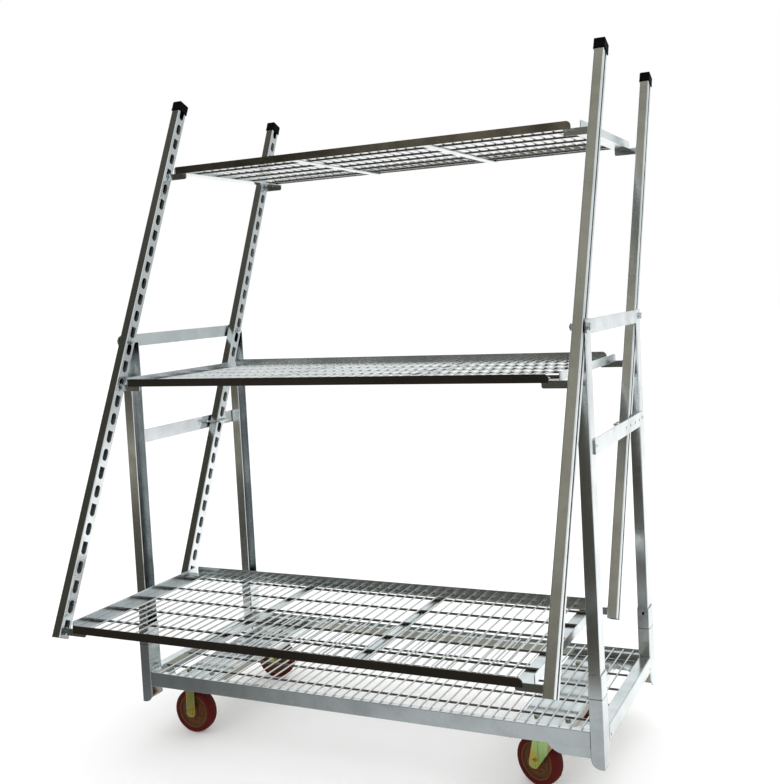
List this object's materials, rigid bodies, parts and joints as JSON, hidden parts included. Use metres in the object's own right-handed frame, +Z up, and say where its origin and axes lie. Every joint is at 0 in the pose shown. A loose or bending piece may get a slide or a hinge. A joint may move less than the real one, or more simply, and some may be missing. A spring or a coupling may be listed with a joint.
{
  "type": "shelf cart",
  "caption": "Wheeled display cart: a zinc-plated base frame with uprights that carry leaning slotted posts and level wire shelves, with locking pins and casters.",
  "frame": {"origin": "on the floor, under the middle of the cart's outline", "axes": "+X to the cart's right end with the swivel casters, +Y to its rear, +Z up"},
  "size_m": [1.3654, 1.2029, 1.8425],
  "materials": {
    "zinc_steel": "bright zinc plating on folded sheet, tube and wire",
    "yellow_zinc": "yellow passivated zinc",
    "black_plastic": "moulded, slightly grained",
    "wheel_core": "moulded brown nylon",
    "tyre": "dark red polyurethane"
  },
  "bodies": {
    "base": {"front_corner_posts": "zinc_steel", "rear_corner_posts": "zinc_steel", "base_front_rail": "zinc_steel", "base_rear_rail": "zinc_steel", "base_end_rails": "zinc_steel", "mount_plates": "zinc_steel", "base_deck": "zinc_steel", "post_sleeves": "zinc_steel", "front_left_upright": "zinc_steel", "front_right_upright": "zinc_steel", "rear_left_upright": "zinc_steel", "rear_right_upright": "zinc_steel", "left_upper_bar": "zinc_steel", "right_upper_bar": "zinc_steel", "left_lower_bar": "zinc_steel", "right_lower_bar": "zinc_steel", "bar_rivets": "zinc_steel", "pivot_bolts": "zinc_steel", "pivot_nuts": "zinc_steel", "fixed_forks": "yellow_zinc", "fixed_axles": "yellow_zinc", "swivel_plates": "yellow_zinc", "caster_bolts": "yellow_zinc"},
    "front_posts": {"front_left_post": "zinc_steel", "front_right_post": "zinc_steel", "front_post_caps": "black_plastic", "front_pivot_bushes": "zinc_steel"},
    "rear_posts": {"rear_left_post": "zinc_steel", "rear_right_post": "zinc_steel", "rear_post_caps": "black_plastic", "rear_pivot_bushes": "zinc_steel"},
    "bottom_shelf": {"bottom_shelf_front_rail": "zinc_steel", "bottom_shelf_rear_rail": "zinc_steel", "bottom_shelf_end_rails": "zinc_steel", "bottom_shelf_deck": "zinc_steel", "bottom_shelf_straps": "zinc_steel"},
    "middle_shelf": {"middle_shelf_front_rail": "zinc_steel", "middle_shelf_rear_rail": "zinc_steel", "middle_shelf_end_rails": "zinc_steel", "middle_shelf_deck": "zinc_steel", "middle_shelf_straps": "zinc_steel"},
    "top_shelf": {"top_shelf_front_rail": "zinc_steel", "top_shelf_rear_rail": "zinc_steel", "top_shelf_end_rails": "zinc_steel", "top_shelf_deck": "zinc_steel", "top_shelf_straps": "zinc_steel"},
    "left_pin": {"left_locking_pin": "zinc_steel"},
    "right_pin": {"right_locking_pin": "zinc_steel"},
    "front_swivel": {"front_swivel_fork": "yellow_zinc", "front_swivel_axle": "yellow_zinc"},
    "front_swivel_wheel": {"front_swivel_wheel_core": "wheel_core", "front_swivel_tyre": "tyre"},
    "front_fixed_wheel": {"front_fixed_wheel_core": "wheel_core", "front_fixed_tyre": "tyre"},
    "rear_swivel": {"rear_swivel_fork": "yellow_zinc", "rear_swivel_axle": "yellow_zinc"},
    "rear_swivel_wheel": {"rear_swivel_wheel_core": "wheel_core", "rear_swivel_tyre": "tyre"},
    "rear_fixed_wheel": {"rear_fixed_wheel_core": "wheel_core", "rear_fixed_tyre": "tyre"}
  },
  "joints": [
    {"name": "front_lean", "type": "hinge", "parent": "base", "child": "front_posts", "pos_m": [0, -0.2544, 1.13], "axis": [-1, 0, 0], "range_deg": [-9.06, 7.95]},
    {"name": "rear_lean", "type": "hinge", "parent": "base", "child": "rear_posts", "pos_m": [0, 0.2686, 1.13], "axis": [-1, 0, 0], "range_deg": [-9.06, 7.95]},
    {"name": "bottom_shelf_level", "type": "hinge", "parent": "front_posts", "child": "bottom_shelf", "pos_m": [0, -0.57679, 0.40785], "axis": [-1, 0, 0], "range_deg": [-7.95, 9.06]},
    {"name": "middle_shelf_level", "type": "hinge", "parent": "front_posts", "child": "middle_shelf", "pos_m": [0, -0.30917, 1.00732], "axis": [-1, 0, 0], "range_deg": [-7.95, 9.06]},
    {"name": "top_shelf_level", "type": "hinge", "parent": "front_posts", "child": "top_shelf", "pos_m": [0, -0.04154, 1.60679], "axis": [-1, 0, 0], "range_deg": [-7.95, 9.06]},
    {"name": "left_pin_pull", "type": "slide", "parent": "rear_posts", "child": "left_pin", "axis": [1, 0, 0], "range_m": [0, 0.038]},
    {"name": "right_pin_pull", "type": "slide", "parent": "rear_posts", "child": "right_pin", "axis": [-1, 0, 0], "range_m": [0, 0.038]},
    {"name": "front_swivel_turn", "type": "hinge", "parent": "base", "child": "front_swivel", "pos_m": [0.52, -0.2004, 0.158], "axis": [0, 0, 1], "continuous": true},
    {"name": "front_swivel_wheel_spin", "type": "hinge", "parent": "front_swivel", "child": "front_swivel_wheel", "pos_m": [0.48899, -0.18911, 0.0625], "axis": [0.342, 0.9397, 0], "continuous": true},
    {"name": "front_fixed_wheel_spin", "type": "hinge", "parent": "base", "child": "front_fixed_wheel", "pos_m": [-0.54, -0.2004, 0.0625], "axis": [0, 1, 0], "continuous": true},
    {"name": "rear_swivel_turn", "type": "hinge", "parent": "base", "child": "rear_swivel", "pos_m": [0.52, 0.2296, 0.158], "axis": [0, 0, 1], "continuous": true},
    {"name": "rear_swivel_wheel_spin", "type": "hinge", "parent": "rear_swivel", "child": "rear_swivel_wheel", "pos_m": [0.48798, 0.22162, 0.0625], "axis": [-0.2419, 0.9703, 0], "continuous": true},
    {"name": "rear_fixed_wheel_spin", "type": "hinge", "parent": "base", "child": "rear_fixed_wheel", "pos_m": [-0.54, 0.2296, 0.0625], "axis": [0, 1, 0], "continuous": true}
  ],
  "couplings": [
    {"joint": "rear_lean", "follows": "front_lean", "ratio": 1},
    {"joint": "bottom_shelf_level", "follows": "front_lean", "ratio": -1},
    {"joint": "middle_shelf_level", "follows": "front_lean", "ratio": -1},
    {"joint": "top_shelf_level", "follows": "front_lean", "ratio": -1}
  ]
}
